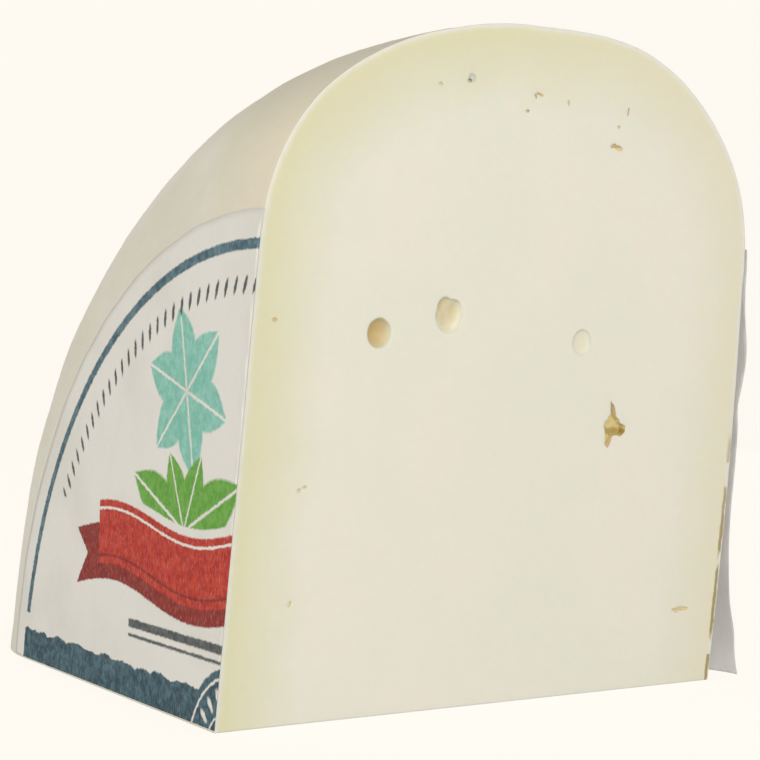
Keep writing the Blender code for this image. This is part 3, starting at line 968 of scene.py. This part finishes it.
    # small petals between the seal's two lines
    sealTurn = addNode(tree, "SeparateXYZ", {0: sealPlace})
    sealAngle = addNode(tree, "Math", {0: sealTurn.outputs["X"], 1: sealTurn.outputs["Y"]},
                        operation="ARCTAN2")
    petals = addNode(tree, "Math", {0: sealAngle, 1: art["sealPetals"] / (2 * pi)}, operation="MULTIPLY")
    petalCell = addNode(tree, "Math", {0: petals, 1: 0.5, 2: -0.5}, operation="WRAP")
    petalOut = addNode(tree, "Math", {0: sealFar, 1: art["petalRadius"]}, operation="SUBTRACT")
    petalPlane = addNode(tree, "CombineXYZ", {0: petalCell, 1: petalOut})
    petalScale = (1 / art["petalHalf"], 1 / art["petalTall"], 0)
    petalShape = addNode(tree, "VectorMath", {0: petalPlane, 1: petalScale}, operation="MULTIPLY")
    petalFar = addNode(tree, "VectorMath", {0: petalShape}, operation="LENGTH").outputs["Value"]
    petal = insideEdges(tree, 0.25, (petalFar, 0.9))
    colour = addNode(tree, "Mix", {0: petal, 6: colour, 7: paperColour}, data_type="RGBA").outputs[2]

    # paper fibres, drawn out upright, which take less ink
    fibrePlace = addNode(tree, "Mapping", {"Vector": mm, "Rotation": (look["fibreLean"], 0, 0),
                                           "Scale": (1.0, 3.4, 0.9)})
    fibres = addNode(tree, "TexNoise", {"Vector": fibrePlace, "Scale": look["fibres"],
                                        "Detail": 4.0, "Roughness": 0.65})
    thin = addNode(tree, "MapRange", {0: fibres, 1: 0.52, 2: 0.80, 3: 0.0, 4: 0.26})
    colour = addNode(tree, "Mix", {0: thin, 6: colour, 7: paperColour}, data_type="RGBA").outputs[2]
    value = addNode(tree, "MapRange", {0: fibres, 3: 0.93, 4: 1.06})
    finished = addNode(tree, "HueSaturation", {"Color": colour, "Value": value})
    tree.links.new(finished.outputs[0], shader.inputs["Base Color"])
    bump = addNode(tree, "Bump", {"Height": fibres, "Strength": 0.18, "Distance": 0.0003})
    tree.links.new(bump.outputs[0], shader.inputs["Normal"])
    return material


# Backing paper: thin plain paper off the other face, grey where the damp has gone through.
backingLook = {
    "paper": "#e9e8e6",
    "damp": "#dedddd",
    "seeThrough": 0.5,
    "looseBehind": (0.004, 0.026),     # metres behind the front cut
    "clouds": 70.0,                    # noise scales, 14 mm and 1 mm
    "fibres": 900.0,
    "surface": {"Roughness": 0.62, "IOR": 1.45},
}


def makeBackingMaterial():
    look = backingLook
    material, tree, shader = startMaterial("backing paper, thin, damp", look["surface"])
    place = addNode(tree, "TexCoord").outputs["Object"]
    damp = addNode(tree, "TexNoise", {"Vector": place, "Scale": look["clouds"], "Detail": 4.0})
    dampShare = addNode(tree, "MapRange", {0: damp, 1: 0.36, 2: 0.68})
    base = addNode(tree, "Mix", {0: dampShare, 6: hexToLinear(look["paper"]),
                                 7: hexToLinear(look["damp"])}, data_type="RGBA")
    # paper fibres, drawn out upright
    fibrePlace = addNode(tree, "Mapping", {"Vector": place, "Scale": (1.0, 3.0, 0.9)})
    fibres = addNode(tree, "TexNoise", {"Vector": fibrePlace, "Scale": look["fibres"], "Detail": 4.0})
    value = addNode(tree, "MapRange", {0: fibres, 3: 0.93, 4: 1.05})
    finished = addNode(tree, "HueSaturation", {"Color": base.outputs[2], "Value": value})
    tree.links.new(finished.outputs[0], shader.inputs["Base Color"])
    bump = addNode(tree, "Bump", {"Height": fibres, "Strength": 0.2, "Distance": 0.0003})
    tree.links.new(bump.outputs[0], shader.inputs["Normal"])
    # thin enough for a part of the light to come through where it is loose
    through = addNode(tree, "BsdfTranslucent", {"Color": finished.outputs[0]})
    behind = fromCornerAlong(tree, place, faceInward)
    loose = addNode(tree, "MapRange", {0: behind, (1, 2): look["looseBehind"], 3: look["seeThrough"],
                                       4: 0.0})
    both = addNode(tree, "MixShader", {0: loose, 1: shader, 2: through})
    tree.links.new(both.outputs[0], tree.nodes["Material Output"].inputs["Surface"])
    return material


frontLabel = buildPaper("frontLabelPaper", labelFaceAlong, -1, lambda point: 0, makeLabelMaterial())
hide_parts("front_label")
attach(frontLabel, "root")
backLabel = buildPaper("backLabelPaper", backFaceAlong, 1, looseLift, makeBackingMaterial())
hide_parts("back_label")
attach(backLabel, "root")
print("papers built")

# Studio: a pale sweep all round, soft light from the front, and the photograph's camera
studio = {
    "sweep": "#fffbf3",
    "glow": 1.035,
    "matteShare": 0.10,
    "floorRadius": 1.4,
    "bend": 0.6,
    "wallTop": 2.6,
    "bendSteps": 12,
    "turnSteps": 64,
    "mergeDistance": 1e-5,
    "skyStrength": 0.49,
    "sky": "#ffffff",
    "keyPower": 10.8,
    "keySize": 1.0,
    "keyFrom": (-22, 2, 1.1),     # azimuth, elevation, metres
    "fillPower": 3.8,
    "fillFrom": (-85, 5, 1.1),
    "backPower": 2.4,
    "backFrom": (105, 12, 1.1),
}
camera = {
    "place": (-0.1793, -0.2936, 0.0566),
    "azimuth": -33.72,
    "elevation": 0.0,
    "roll": 1.356,
    "focalPixels": 1683.0,
    "imagePixels": 760,
    "sensor": 36.0,
    "nearest": 0.01,
}


def directionFrom(azimuth, elevation):
    a, e = radians(azimuth), radians(elevation)
    return Vector((sin(a) * cos(e), -cos(a) * cos(e), sin(e)))


def buildSweep():
    # floor that bends up into a round wall, so that no horizon shows
    bm = bmesh.new()
    profile = [(0, 0), (studio["floorRadius"], 0)]
    for i in range(1, studio["bendSteps"] + 1):
        turn = pi / 2 * i / studio["bendSteps"]
        profile.append((studio["floorRadius"] + studio["bend"] * sin(turn),
                        studio["bend"] * (1 - cos(turn))))
    profile.append((profile[-1][0], studio["wallTop"]))
    ring = [bm.verts.new((radius, 0, up)) for radius, up in profile]
    for a, b in zip(ring, ring[1:]):
        bm.edges.new((a, b))
    bmesh.ops.spin(bm, geom=bm.verts[:] + bm.edges[:], cent=(0, 0, 0), axis=(0, 0, 1),
                   angle=2 * pi, steps=studio["turnSteps"], use_merge=True, use_duplicate=False)
    bmesh.ops.remove_doubles(bm, verts=bm.verts, dist=studio["mergeDistance"])
    bmesh.ops.recalc_face_normals(bm, faces=bm.faces)
    for face in bm.faces:
        face.smooth = True
    material = bpy.data.materials.new("studio paper, matte")
    material.use_nodes = True
    tree = material.node_tree
    tree.nodes.clear()
    glow = addNode(tree, "Emission", {"Color": hexToLinear(studio["sweep"]), "Strength": studio["glow"]})
    matte = addNode(tree, "BsdfDiffuse", {"Color": hexToLinear(studio["sweep"])})
    mixed = addNode(tree, "MixShader", {0: studio["matteShare"], 1: glow, 2: matte})
    addNode(tree, "OutputMaterial", {"Surface": mixed})
    sweep = finishPiece("studioSweep", bm, [material])
    sweep.visible_diffuse = False


def addSoftLight(name, power, size, place):
    azimuth, elevation, distance = place
    light = bpy.data.lights.new(name, "AREA")
    light.energy = power
    light.size = size
    lamp = bpy.data.objects.new(name, light)
    bpy.context.scene.collection.objects.link(lamp)
    towards = directionFrom(azimuth, elevation)
    middle = (cadLow + cadHigh) / 2
    lamp.location = middle + towards * distance
    lamp.rotation_euler = towards.to_track_quat("Z", "Y").to_euler()
    lamp.visible_camera = False


buildSweep()
addSoftLight("keySoftbox", studio["keyPower"], studio["keySize"], studio["keyFrom"])
addSoftLight("fillSoftbox", studio["fillPower"], studio["keySize"], studio["fillFrom"])
addSoftLight("backSoftbox", studio["backPower"], studio["keySize"], studio["backFrom"])
world = bpy.data.worlds.new("studio")
world.use_nodes = True
world.node_tree.nodes["Background"].inputs["Color"].default_value = hexToLinear(studio["sky"])
world.node_tree.nodes["Background"].inputs["Strength"].default_value = studio["skyStrength"]
bpy.context.scene.world = world

lens = bpy.data.cameras.new("photoCamera")
lens.sensor_width = camera["sensor"]
lens.lens = camera["focalPixels"] / camera["imagePixels"] * camera["sensor"]
lens.clip_start = camera["nearest"]
photoCamera = bpy.data.objects.new("photoCamera", lens)
bpy.context.scene.collection.objects.link(photoCamera)
photoCamera.matrix_world = (Matrix.Translation(camera["place"])
                            @ Matrix.Rotation(radians(camera["azimuth"]), 4, "Z")
                            @ Matrix.Rotation(radians(90 - camera["elevation"]), 4, "X")
                            @ Matrix.Rotation(radians(camera["roll"]), 4, "Z"))
bpy.context.scene.camera = photoCamera
bpy.context.scene.view_settings.view_transform = "Standard"
print("studio built")

bpy.context.view_layer.update()
